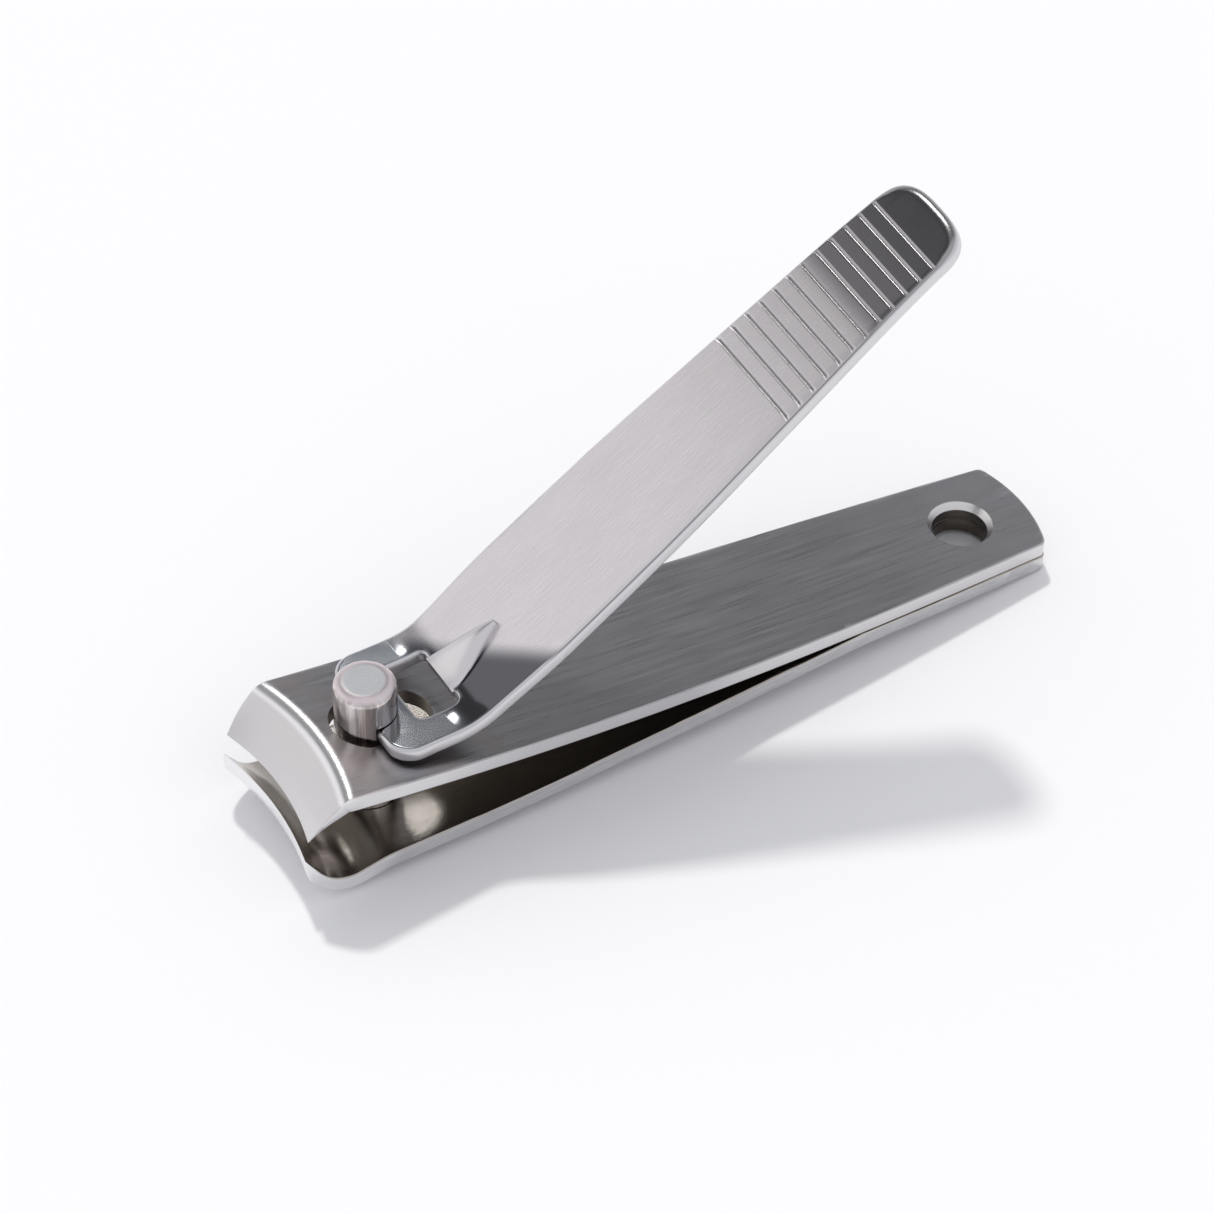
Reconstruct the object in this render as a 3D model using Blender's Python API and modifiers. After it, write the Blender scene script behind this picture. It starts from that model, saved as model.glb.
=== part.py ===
"""A fingernail clipper: two spring steel arms, a pivot pin and a folding thumb lever.

Metres, +Z up, the cutting edges towards -X, the rear end towards +X, the arms centred on Y = 0.
The two arms and the lever are made the way the real pieces are: a flat blank with rounded
edges is cut to its outline and then bent along its length. A bend is (length, turn in degrees).
"""

import math

import bmesh
import bpy
from mathutils import Matrix, Vector

MM = 0.001
LENGTH = 60.0
LOWER_LIP_OVERHANG = 0.34
MIDDLE = (LENGTH - LOWER_LIP_OVERHANG) / 2

# Sheet and edges
ARM_THICKNESS = 1.25
LEVER_THICKNESS = 1.2
EDGE_ROUND = 0.13
SEAM_GAP = 0.03

# Plan outline of both arms: each side is one long arc, and the rear end is a wide arc between small corners
ARM_WIDEST = 6.24
WIDEST_FROM_EDGE = 10.0
ARM_TAPER = 0.00076
REAR_RADIUS = 11.5
REAR_CORNER = 0.45
LIP_HALF_WIDTH = 5.65
LIP_LENGTH = 4.6

# Side view of the upper arm, from the rear end to the cutting edge
REAR_PITCH = 4.75
UPPER_REAR_TOP = 2.55
UPPER_BENDS = (
    (16.5, 0.0), (38.6, 4.9), (1.75, 0.0), (1.27, -50.0), (0.6, 0.0), (2.2, -14.5), (0.8, 0.0),
)
UPPER_GRIND = ((0.0, 0.03), (0.85, 0.2), (2.2, 0.66), (3.9, 1.2), (4.8, ARM_THICKNESS))
UPPER_HOLLOW = 0.85

# Side view of the lower arm, from the rear end to the cutting edge
LOWER_BENDS = (
    (15.2, 0.0), (2.0, -5.25), (7.0, 0.0), (14.0, -1.0), (12.0, 1.5), (3.3, 0.0),
    (1.5, -11.0), (1.4, 0.0), (3.3, 65.0), (1.85, 0.0),
)
LOWER_GRIND = ((0.0, 0.05), (0.7, 0.56), (1.5, 0.85), (3.0, 0.97), (4.2, 1.15), (5.3, ARM_THICKNESS))
LOWER_HOLLOW = 0.68

# The lips' hollow curve fades out behind them
BOW_ENDS_AT = 9.5
BOW_FADE = 5.5

# Holes
REAR_HOLE_AT = 54.8
REAR_HOLE_RADIUS = 1.95
REAR_BEVEL_RADIUS = 2.3
REAR_BEVEL_DEPTH = 0.5
PIN_AT = 7.57
PIN_RADIUS = 2.16
PIN_RUNNING_GAP = 0.06
SLOT_FRONT_RADIUS = 2.55
SLOT_HALF_WIDTH = 2.3
SLOT_REAR_AT = 12.4

# Pivot pin
PIN_TOP = 12.5
PIN_SHOULDER = 11.85
PIN_TOP_FLAT_RADIUS = 1.35
FOOT_RADIUS = 2.75
FOOT_THICKNESS = 0.6
FOOT_EDGE = 0.4
NOTCH_FRONT_AT = 7.19
NOTCH_FLOOR = 7.35
NOTCH_ROOF = 9.8

# Thumb lever, from the crossbar's front edge to the free end
LEVER_FRONT_AT = 7.25
LEVER_TOP = 9.7
CROSSBAR_WIDTH = 2.95
WINDOW_LENGTH = 3.1
WINDOW_HALF_WIDTH = 2.6
LEVER_BENDS = ((4.5, 0.0), (3.0, 33.5), (35.4, 0.0), (8.8, -5.0))
PRONG_HALF_WIDTH = 5.1
LEVER_WIDEST = 5.45
LEVER_TAPER = 0.056
TAPER_START = 23.3
TAPER_BLEND = 6.0
LEVER_FRONT_CORNER = 1.9
LEVER_END_CAP = 3.2
LEVER_END_POWER = 3.0
GROOVES = 12
GROOVE_PITCH = 1.25
GROOVE_FROM_END = 3.05
GROOVE_RADIUS = 0.25
GROOVE_DEPTH = 0.1
GROOVE_SIDE_MARGIN = 0.2
RIB_LENGTH = 5.25
RIB_HALF_WIDTH = 1.8
RIB_HEIGHT = 0.95


def along(bends, start, heading, run, distance):
    """The point and heading at a distance along a strip's top line; run is -1 towards the jaws."""
    x, z = start
    angle = math.radians(heading)
    for length, turn in bends:
        step = min(length, distance)
        curl = math.radians(turn) * step / length
        chord = step
        if abs(curl) > 1e-9:
            chord = step * math.sin(curl / 2) / (curl / 2)
        x += run * chord * math.cos(angle + curl / 2)
        z += chord * math.sin(angle + curl / 2)
        angle += curl
        distance -= step
        if distance <= 0:
            break
    if distance > 0:
        x += run * distance * math.cos(angle)
        z += distance * math.sin(angle)
    return x, z, angle


def total_length(bends):
    return sum(length for length, turn in bends)


def between(table, value):
    """Straight-line interpolation in a table of (value, result)."""
    for (low, first), (high, second) in zip(table, table[1:]):
        if value <= high:
            share = max(0.0, (value - low) / (high - low))
            return first + share * (second - first)
    return table[-1][1]


def ease(value):
    value = min(1.0, max(0.0, value))
    return value * value * (3 - 2 * value)


def stations(bends, longest, finest_turn):
    """Distances along a strip at which it is scored before bending."""
    found = [0.0]
    for length, turn in bends:
        pieces = max(1, math.ceil(length / longest), math.ceil(abs(turn) / finest_turn))
        found += [found[-1] + length * (i + 1) / pieces for i in range(pieces)]
    return found[1:-1]


def in_collection(obj, collection):
    for other in list(obj.users_collection):
        other.objects.unlink(obj)
    collection.objects.link(obj)


def flat_blank(outline, holes, thickness):
    """A bmesh of the flat blank in millimetres, its top at Z = 0 and its edges rounded."""
    curve = bpy.data.curves.new("blank", "CURVE")
    curve.dimensions = "2D"
    curve.fill_mode = "BOTH"
    for ring in [outline] + holes:
        spline = curve.splines.new("POLY")
        spline.points.add(len(ring) - 1)
        for point, (x, y) in zip(spline.points, ring):
            point.co = (x, y, 0.0, 1.0)
        spline.use_cyclic_u = True
    curve.extrude = thickness / 2 - EDGE_ROUND
    curve.bevel_depth = EDGE_ROUND
    curve.bevel_resolution = 1
    curve.offset = -EDGE_ROUND
    holder = bpy.data.objects.new("blank", curve)
    bpy.context.scene.collection.objects.link(holder)
    bpy.context.view_layer.update()
    graph = bpy.context.evaluated_depsgraph_get()
    mesh = bpy.data.meshes.new_from_object(holder.evaluated_get(graph))
    bpy.data.objects.remove(holder)
    shape = bmesh.new()
    shape.from_mesh(mesh)
    bpy.data.meshes.remove(mesh)
    bmesh.ops.remove_doubles(shape, verts=shape.verts, dist=0.002)
    bmesh.ops.dissolve_limit(
        shape, angle_limit=math.radians(0.5), verts=shape.verts, edges=shape.edges, use_dissolve_boundaries=False
    )
    for vert in shape.verts:
        vert.co.z -= thickness / 2
    return shape


def score(shape, axis, places):
    """Cuts the blank's faces at these places, so that it can bend there."""
    for place in places:
        geometry = shape.verts[:] + shape.edges[:] + shape.faces[:]
        normal = Vector((0.0, 0.0, 0.0))
        normal[axis] = 1.0
        bmesh.ops.bisect_plane(shape, geom=geometry, plane_co=normal * place, plane_no=normal, dist=0.004)


def finish_piece(name, shape, collection, material):
    """An object from a bmesh in millimetres measured from the cutting edges."""
    for vert in shape.verts:
        vert.co = Vector((vert.co.x - MIDDLE, vert.co.y, vert.co.z)) * MM
    bmesh.ops.recalc_face_normals(shape, faces=shape.faces)
    mesh = bpy.data.meshes.new(name)
    shape.to_mesh(mesh)
    shape.free()
    mesh.shade_smooth()
    mesh.set_sharp_from_angle(angle=math.radians(32))
    obj = bpy.data.objects.new(name, mesh)
    collection.objects.link(obj)
    if material:
        mesh.materials.append(material)
    return obj


def cut(obj, cutter, operation="DIFFERENCE"):
    cutter.hide_render = True
    cutter.display_type = "WIRE"
    boolean = obj.modifiers.new("cut_" + cutter.name, "BOOLEAN")
    boolean.solver = "EXACT"
    boolean.operation = operation
    boolean.object = cutter


def block(name, low, high, collection):
    shape = bmesh.new()
    bmesh.ops.create_cube(shape, size=1.0)
    for vert in shape.verts:
        vert.co = Vector([low[i] + (vert.co[i] + 0.5) * (high[i] - low[i]) for i in range(3)])
    return finish_piece(name, shape, collection, None)


def upright_ring(points, low, high, name, collection):
    """An upright prism on a closed ring of (x, y) points."""
    shape = bmesh.new()
    bottom = [shape.verts.new((x, y, low)) for x, y in points]
    top = [shape.verts.new((x, y, high)) for x, y in points]
    shape.faces.new(list(reversed(bottom)))
    shape.faces.new(top)
    for i in range(len(points)):
        j = (i + 1) % len(points)
        shape.faces.new((bottom[i], bottom[j], top[j], top[i]))
    return finish_piece(name, shape, collection, None)


def arc(centre, radius, first, last, pieces):
    """Points (x, y) on an arc, angles in degrees."""
    found = []
    for i in range(pieces + 1):
        angle = math.radians(first + (last - first) * i / pieces)
        found.append((centre[0] + radius * math.cos(angle), centre[1] + radius * math.sin(angle)))
    return found


def cap(half_width, length, power, pieces):
    """Points (distance from the tip, half width) of a rounded end, from the tip to its full width."""
    found = []
    for i in range(1, pieces + 1):
        angle = math.pi / 2 * i / pieces
        across = half_width * math.sin(angle) ** (2 / power)
        back = length * (1 - math.cos(angle) ** (2 / power))
        found.append((back, across))
    return found


def arm_half_width(from_edge):
    return ARM_WIDEST - ARM_TAPER * (from_edge - WIDEST_FROM_EDGE) ** 2


def rear_cap(length, pieces, corner_pieces):
    """Points (distance from the rear end, half width): one wide arc, then a small rounded corner."""
    found = []
    wide = arm_half_width(length - 1.0)
    first = wide - REAR_CORNER
    for i in range(1, pieces + 1):
        across = first * i / pieces
        found.append((REAR_RADIUS - math.sqrt(REAR_RADIUS ** 2 - across ** 2), across))
    corner = REAR_RADIUS - math.sqrt(REAR_RADIUS ** 2 - wide ** 2)
    last = (corner + REAR_CORNER, arm_half_width(length - corner - REAR_CORNER))
    begin = found[-1]
    for i in range(1, corner_pieces + 1):
        share = i / corner_pieces
        found.append(tuple(
            (1 - share) ** 2 * a + 2 * share * (1 - share) * b + share ** 2 * c
            for a, b, c in zip(begin, (corner, wide), last)
        ))
    return found


def arm_outline(length):
    """The arm's outline, distances from the rear end, anticlockwise."""
    side = rear_cap(length, 10, 3)
    start = side[-1][0]
    places = [start + (length - LIP_LENGTH - start) * i / 14 for i in range(1, 15)]
    side += [(place, arm_half_width(length - place)) for place in places]
    ridge = side[-1][1]
    for i in range(1, 5):
        share = i / 4
        side.append((length - LIP_LENGTH * (1 - share), ridge + (LIP_HALF_WIDTH - ridge) * share ** 1.5))
    near = [(x, -y) for x, y in side]
    far = [(x, y) for x, y in reversed(side)]
    return [(0.0, 0.0)] + near + far


def arm(name, bends, rear_top, grind, hollow, collection, material):
    """One arm: blank, scored, bent, with its lip ground thin and hollowed to the nail's curve."""
    length = total_length(bends)
    hole = arc((LENGTH - REAR_HOLE_AT, 0.0), REAR_HOLE_RADIUS, 0, 337.5, 15)
    shape = flat_blank(arm_outline(length), [hole], ARM_THICKNESS)
    score(shape, 0, stations(bends, 4.2, 8.0))
    score(shape, 0, [length - place for place, left in grind[1:-1]])
    score(shape, 1, [-4.5, -3.0, -1.5, 0.0, 1.5, 3.0, 4.5])
    for vert in shape.verts:
        distance, y, depth = vert.co
        x, z, angle = along(bends, (LENGTH, rear_top), REAR_PITCH, -1, distance)
        depth *= between(grind, length - distance) / ARM_THICKNESS
        bow = hollow * (1 - (y / LIP_HALF_WIDTH) ** 2) * ease((BOW_ENDS_AT - x) / BOW_FADE)
        vert.co = (x + depth * math.sin(angle) + bow, y, z + depth * math.cos(angle))
    return finish_piece(name, shape, collection, material)


def pin_hole(name, radius, collection):
    points = arc((PIN_AT, 0.0), radius, 0, 345, 23)
    return upright_ring(points, -1.0, 6.0, name, collection)


def pin_slot(collection):
    points = arc((PIN_AT, 0.0), SLOT_FRONT_RADIUS, 110, 250, 12)
    rear = SLOT_REAR_AT - SLOT_HALF_WIDTH
    points += arc((rear, 0.0), SLOT_HALF_WIDTH, -90, 90, 12)
    return upright_ring(points, 4.0, 14.0, "cutter_slot", collection)


def hole_bevel(collection):
    """Opens the upper arm's rear hole towards its top."""
    x, z, angle = along(UPPER_BENDS, (LENGTH, UPPER_REAR_TOP), REAR_PITCH, -1, LENGTH - REAR_HOLE_AT)
    spread = REAR_BEVEL_RADIUS - REAR_HOLE_RADIUS
    low = -REAR_BEVEL_DEPTH
    shape = bmesh.new()
    bmesh.ops.create_cone(
        shape, cap_ends=True, segments=24, radius1=REAR_HOLE_RADIUS - 0.1 * spread, radius2=REAR_BEVEL_RADIUS + 0.1 * spread,
        depth=1.2 * REAR_BEVEL_DEPTH,
        matrix=Matrix.Translation(Vector((x, 0.0, z))) @ Matrix.Rotation(angle, 4, "Y") @ Matrix.Translation(Vector((0.0, 0.0, low / 2))),
    )
    return finish_piece("cutter_hole_bevel", shape, collection, None)


def pivot_pin(collection, cutters, material):
    """Turned pin: foot below the lower arm, shank, and a notched head that holds the crossbar."""
    profile = [(0.0, PIN_TOP), (PIN_TOP_FLAT_RADIUS, PIN_TOP)]
    for i in range(1, 6):
        angle = math.radians(90 * i / 5)
        across = PIN_TOP_FLAT_RADIUS + (PIN_RADIUS - PIN_TOP_FLAT_RADIUS) * math.sin(angle)
        profile.append((across, PIN_SHOULDER + (PIN_TOP - PIN_SHOULDER) * math.cos(angle)))
    profile += [(PIN_RADIUS, FOOT_THICKNESS), (PIN_RADIUS + 0.15, FOOT_THICKNESS), (FOOT_RADIUS, FOOT_EDGE)]
    profile += [(FOOT_RADIUS, 0.2), (FOOT_RADIUS - 0.2, 0.0), (0.0, 0.0)]
    mesh = bpy.data.meshes.new("pivot_pin")
    points = [(x * MM, 0.0, z * MM) for x, z in profile]
    mesh.from_pydata(points, [(i, i + 1) for i in range(len(points) - 1)], [])
    obj = bpy.data.objects.new("pivot_pin", mesh)
    obj.location = ((PIN_AT - MIDDLE) * MM, 0.0, 0.0)
    collection.objects.link(obj)
    mesh.materials.append(material)
    screw = obj.modifiers.new("turned", "SCREW")
    screw.steps = 48
    screw.render_steps = 48
    screw.use_merge_vertices = True
    screw.merge_threshold = 0.00001
    screw.use_smooth_shade = True
    low = (NOTCH_FRONT_AT, -4.0, NOTCH_FLOOR)
    high = (PIN_AT + 4.0, 4.0, NOTCH_ROOF)
    cut(obj, block("cutter_notch", low, high, cutters))
    return obj


def lever_half_width(distance):
    past = distance - TAPER_START
    taper = LEVER_TAPER * 0.5 * (past + math.sqrt(past * past + TAPER_BLEND ** 2))
    front = (LEVER_WIDEST - PRONG_HALF_WIDTH) * (1 - ease((distance - 6.0) / 8.0))
    return LEVER_WIDEST - taper - front


def lever_outline(length):
    corner = (LEVER_FRONT_CORNER, PRONG_HALF_WIDTH - LEVER_FRONT_CORNER)
    side = arc(corner, LEVER_FRONT_CORNER, 180, 90, 6)
    places = [LEVER_FRONT_CORNER + (length - LEVER_END_CAP - LEVER_FRONT_CORNER) * i / 16 for i in range(1, 17)]
    side += [(place, lever_half_width(place)) for place in places]
    end = cap(side[-1][1], LEVER_END_CAP, LEVER_END_POWER, 10)
    side += [(length - back, across) for back, across in reversed(end[:-1])]
    near = [(x, -y) for x, y in side]
    far = [(x, y) for x, y in reversed(side)]
    return near + [(length, 0.0)] + far


def thumb_lever(collection, cutters, material):
    """The lever: bent blank with the crossbar's window, finger grooves and a rib in its bend."""
    length = total_length(LEVER_BENDS)
    start = (LEVER_FRONT_AT, LEVER_TOP)
    rear = CROSSBAR_WIDTH + WINDOW_LENGTH
    window = []
    for x, y, first in ((rear - 0.5, 1, 0), (CROSSBAR_WIDTH + 0.5, 1, 90), (CROSSBAR_WIDTH + 0.5, -1, 180), (rear - 0.5, -1, 270)):
        window += arc((x, y * (WINDOW_HALF_WIDTH - 0.5)), 0.5, first, first + 90, 3)
    shape = flat_blank(lever_outline(length), [window], LEVER_THICKNESS)
    score(shape, 0, stations(LEVER_BENDS, 9.0, 6.0))
    for vert in shape.verts:
        distance, y, depth = vert.co
        x, z, angle = along(LEVER_BENDS, start, 0.0, 1, distance)
        vert.co = (x - depth * math.sin(angle), y, z + depth * math.cos(angle))
    obj = finish_piece("thumb_lever", shape, collection, material)
    cut(obj, rib(start, rear, cutters), "UNION")
    cut(obj, grooves(start, length, cutters))
    cut(obj, nose_cutter("cutter_notch_nose", PIN_RADIUS + 0.4, -270, cutters))
    cut(obj, nose_cutter("cutter_underside", PRONG_HALF_WIDTH + 1.0, -180, cutters))
    return obj


def rib(start, rear, collection):
    """A tapering rib that stiffens the bend, from the window's rear edge up the strip."""
    shape = bmesh.new()
    rings = []
    for i in range(7):
        share = i / 6
        x, z, angle = along(LEVER_BENDS, start, 0.0, 1, rear - 0.1 + RIB_LENGTH * share)
        wide = RIB_HALF_WIDTH * (1 - 0.86 * share ** 1.4)
        tall = RIB_HEIGHT * (0.25 + 1.35 * share - 1.15 * share ** 3)
        out = (-math.sin(angle), math.cos(angle))
        ring = []
        for y, lift in ((-wide, -0.9), (-wide, 0.05), (-wide * 0.75, tall * 0.66), (-wide * 0.3, tall * 0.96), (wide * 0.3, tall * 0.96), (wide * 0.75, tall * 0.66), (wide, 0.05), (wide, -0.9)):
            ring.append(shape.verts.new((x + lift * out[0], y, z + lift * out[1])))
        rings.append(ring)
    for first, second in zip(rings, rings[1:]):
        for i in range(8):
            j = (i + 1) % 8
            shape.faces.new((first[i], first[j], second[j], second[i]))
    shape.faces.new(rings[0])
    shape.faces.new(list(reversed(rings[-1])))
    return finish_piece("cutter_rib", shape, collection, None)


def rod(shape, centre, angle, half_length, radius, sides):
    """A rod lying across the strip, added to a bmesh."""
    turn = Matrix.Rotation(math.pi / 2, 4, "X")
    place = Matrix.Translation(Vector(centre))
    bmesh.ops.create_cone(
        shape, cap_ends=True, segments=sides, radius1=radius, radius2=radius, depth=2 * half_length,
        matrix=place @ Matrix.Rotation(-angle, 4, "Y") @ turn,
    )


def grooves(start, length, collection):
    shape = bmesh.new()
    for i in range(GROOVES):
        distance = length - GROOVE_FROM_END - GROOVE_PITCH * i
        x, z, angle = along(LEVER_BENDS, start, 0.0, 1, distance)
        lift = GROOVE_RADIUS - GROOVE_DEPTH
        centre = (x - lift * math.sin(angle), 0.0, z + lift * math.cos(angle))
        rod(shape, centre, angle, lever_half_width(distance) - GROOVE_SIDE_MARGIN, GROOVE_RADIUS, 10)
    return finish_piece("cutter_grooves", shape, collection, None)


def nose_cutter(name, half, last, collection):
    """Rounds the crossbar's front edge, from its underside up to the last angle in degrees."""
    radius = LEVER_THICKNESS / 2
    centre = (LEVER_FRONT_AT + radius, LEVER_TOP - radius)
    out = LEVER_FRONT_AT - 1.0
    ring = [(out, centre[1] - 1.5), (centre[0], centre[1] - 1.5)]
    ring += arc(centre, radius, -90, last, 8)
    if last < -180:
        ring.append((centre[0], centre[1] + 1.5))
    ring.append((out, ring[-1][1]))
    shape = bmesh.new()
    near = [shape.verts.new((x, -half, z)) for x, z in ring]
    far = [shape.verts.new((x, half, z)) for x, z in ring]
    shape.faces.new(near)
    shape.faces.new(list(reversed(far)))
    for i in range(len(ring)):
        j = (i + 1) % len(ring)
        shape.faces.new((near[i], far[i], far[j], near[j]))
    return finish_piece(name, shape, collection, None)


def steel(name, colour, roughness):
    material = bpy.data.materials.new(name)
    material.use_nodes = True
    shader = material.node_tree.nodes["Principled BSDF"]
    shader.inputs["Base Color"].default_value = (*colour, 1.0)
    shader.inputs["Metallic"].default_value = 1.0
    shader.inputs["Roughness"].default_value = roughness
    return material


def main():
    for obj in list(bpy.data.objects):
        bpy.data.objects.remove(obj, do_unlink=True)
    parts = bpy.data.collections.new("nail_clipper")
    cutters = bpy.data.collections.new("cutters")
    bpy.context.scene.collection.children.link(parts)
    bpy.context.scene.collection.children.link(cutters)
    cutters.hide_render = True
    brushed = steel("brushed_arm_steel", (0.42, 0.41, 0.42), 0.35)
    lower_steel = steel("plated_arm_steel", (0.62, 0.61, 0.63), 0.28)
    lever_steel = steel("plated_lever_steel", (0.72, 0.70, 0.71), 0.3)
    pin_steel = steel("polished_pin_steel", (0.66, 0.65, 0.66), 0.2)

    upper = arm("upper_arm", UPPER_BENDS, UPPER_REAR_TOP, UPPER_GRIND, UPPER_HOLLOW, parts, brushed)
    cut(upper, pin_slot(cutters))
    cut(upper, hole_bevel(cutters))
    rear_top = UPPER_REAR_TOP - (ARM_THICKNESS + SEAM_GAP) / math.cos(math.radians(REAR_PITCH))
    lower = arm("lower_arm", LOWER_BENDS, rear_top, LOWER_GRIND, LOWER_HOLLOW, parts, lower_steel)
    cut(lower, pin_hole("cutter_pin_hole", PIN_RADIUS + PIN_RUNNING_GAP, cutters))
    pivot_pin(parts, cutters, pin_steel)
    thumb_lever(parts, cutters, lever_steel)


main()
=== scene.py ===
"""Looks of the nail clipper: finer meshes of the four pieces, their steels, the studio and the camera."""

import math

import bmesh
import bpy
import numpy as np
from mathutils import Matrix, Vector


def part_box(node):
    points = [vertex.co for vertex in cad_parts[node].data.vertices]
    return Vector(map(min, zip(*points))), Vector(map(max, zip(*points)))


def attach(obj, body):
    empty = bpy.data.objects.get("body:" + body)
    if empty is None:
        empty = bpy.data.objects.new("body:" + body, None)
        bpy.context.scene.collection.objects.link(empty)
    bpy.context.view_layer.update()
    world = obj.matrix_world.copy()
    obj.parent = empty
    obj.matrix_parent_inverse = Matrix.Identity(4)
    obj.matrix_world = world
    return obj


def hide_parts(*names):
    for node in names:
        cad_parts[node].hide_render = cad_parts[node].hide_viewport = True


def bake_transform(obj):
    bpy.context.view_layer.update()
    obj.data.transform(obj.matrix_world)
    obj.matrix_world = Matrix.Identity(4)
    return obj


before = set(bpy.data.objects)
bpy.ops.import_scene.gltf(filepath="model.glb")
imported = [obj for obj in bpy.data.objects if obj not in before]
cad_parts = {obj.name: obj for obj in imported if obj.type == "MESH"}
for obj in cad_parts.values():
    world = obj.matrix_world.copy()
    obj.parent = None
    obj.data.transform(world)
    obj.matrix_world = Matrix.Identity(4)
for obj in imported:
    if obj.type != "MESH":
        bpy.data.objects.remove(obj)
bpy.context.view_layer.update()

MM = 0.001
LENGTH = 60.0
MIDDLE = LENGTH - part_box("upper_arm")[1].x / MM

# Sheet and edges, millimetres
ARM_THICKNESS = 1.25
LEVER_THICKNESS = 1.2
ARM_EDGE = 0.13
LEVER_EDGE = 0.35

# Plan outline of both arms
ARM_WIDEST = 6.24
WIDEST_FROM_EDGE = 10.0
ARM_TAPER = 0.00076
REAR_RADIUS = 11.5
REAR_CORNER = 0.45
LIP_HALF_WIDTH = 5.65
LIP_LENGTH = 4.6

# Side views from the rear end to the cutting edge, as (length, turn in degrees)
REAR_PITCH = 4.75
UPPER_REAR_TOP = 2.55
LOWER_REAR_TOP = 1.2656
UPPER_BENDS = (
    (16.5, 0.0), (38.6, 4.9), (1.75, 0.0), (1.27, -50.0), (0.6, 0.0), (2.2, -14.5), (0.8, 0.0),
)
UPPER_GRIND = ((0.0, 0.03), (0.85, 0.2), (2.2, 0.66), (3.9, 1.2), (4.8, ARM_THICKNESS))
UPPER_HOLLOW = 0.85
LOWER_BENDS = (
    (15.2, 0.0), (2.0, -5.25), (7.0, 0.0), (14.0, -1.0), (12.0, 1.5), (3.3, 0.0),
    (1.5, -11.0), (1.4, 0.0), (3.3, 65.0), (1.85, 0.0),
)
LOWER_GRIND = ((0.0, 0.05), (0.7, 0.56), (1.5, 0.85), (3.0, 0.97), (4.2, 1.15), (5.3, ARM_THICKNESS))
LOWER_HOLLOW = 0.68
BOW_ENDS_AT = 9.5
BOW_FADE = 5.5

# Holes and pin
REAR_HOLE_AT = 54.8
REAR_HOLE_RADIUS = 1.95
REAR_BEVEL_RADIUS = 2.3
REAR_BEVEL_DEPTH = 0.5
PIN_AT = 7.57
PIN_RADIUS = 2.16
PIN_RUNNING_GAP = 0.06
SLOT_FRONT_RADIUS = 2.55
SLOT_HALF_WIDTH = 2.3
SLOT_REAR_AT = 12.4
PIN_TOP = 12.5
PIN_SHOULDER = 11.85
PIN_TOP_FLAT_RADIUS = 1.35
FOOT_RADIUS = 2.75
FOOT_THICKNESS = 0.6
FOOT_EDGE = 0.4
NOTCH_FRONT_AT = 7.19
NOTCH_FLOOR = 7.35
NOTCH_ROOF = 9.8

# Thumb lever, from the crossbar's front edge to the free end
LEVER_FRONT_AT = 7.25
LEVER_TOP = 9.7
CROSSBAR_WIDTH = 2.95
WINDOW_LENGTH = 3.1
WINDOW_HALF_WIDTH = 2.6
WINDOW_CORNER = 0.5
LEVER_BENDS = ((4.5, 0.0), (3.0, 33.5), (35.4, 0.0), (8.8, -5.0))
PRONG_HALF_WIDTH = 5.1
LEVER_WIDEST = 5.45
LEVER_TAPER = 0.056
TAPER_START = 23.3
TAPER_BLEND = 6.0
LEVER_FRONT_CORNER = 1.9
LEVER_END_CAP = 3.2
LEVER_END_POWER = 3.0
GROOVES = 12
GROOVE_PITCH = 1.25
GROOVE_FROM_END = 3.05
GROOVE_RADIUS = 0.25
GROOVE_DEPTH = 0.1
END_EDGE_WIDENING = 1.3
RIB_LENGTH = 5.25
RIB_HALF_WIDTH = 1.8
RIB_HEIGHT = 0.95

# Plan lines, across the arm and the lever, at which the blanks are scored
ARM_SCORES = (-5.3, -4.5, -3.6, -2.7, -1.8, -0.9, 0.0, 0.9, 1.8, 2.7, 3.6, 4.5, 5.3)
LEVER_SCORES = (-3.5, -1.75, 0.0, 1.75, 3.5)
HOLE_PIECES = 60
PIN_PIECES = 96
SLIVER = 0.002 * MM

# Steels: colours that recur, and the depth of their grain in metres
# Painted shade for the rear holes' bores
BORE_SHADE_COLOUR = (0.11, 0.095, 0.085)
ARM_GRAIN = 1.0e-6
LOWER_GRAIN = 8.0e-6
LEVER_GRAIN = 1.3e-6
PIN_GRAIN = 1.0e-5

# Studio: directions point from the clipper, distances and sizes in metres
WORLD_COLOUR = (0.955, 0.96, 1.0, 1.0)
WORLD_STRENGTH = 0.74
FLOOR_HALF_SIZE = 3.0
KEY_ENERGY = 1.31
KEY_ANGLE = 5.0
KEY_COLOUR = (1.0, 0.985, 0.96)
KEY_DIRECTION = (0.12, 0.50, 0.857)
FLAGS = (
    # name, direction, distance, wide, tall, radiance
    ("dark_flag", (0.1, 0.6, 0.8), 0.6, 0.86, 0.5, (0.24, 0.24, 0.25)),
    ("soft_box", (0.161, 0.58, 0.793), 0.45, 0.07, 0.07, (8.9, 8.8, 8.7)),
    ("bright_flag", (-0.70, 0.6, 0.40), 0.6, 0.5, 0.5, (0.92, 0.91, 0.92)),
)

# Camera: the point it looks at is in millimetres from the cutting edges and the floor
TARGET_AT = 26.22
TARGET_HEIGHT = 9.64
CAMERA_AZIMUTH = 30.52
CAMERA_ELEVATION = 45.97
CAMERA_DISTANCE = 0.455
CAMERA_LENS = 199.8
CAMERA_SENSOR = 36.0


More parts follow.
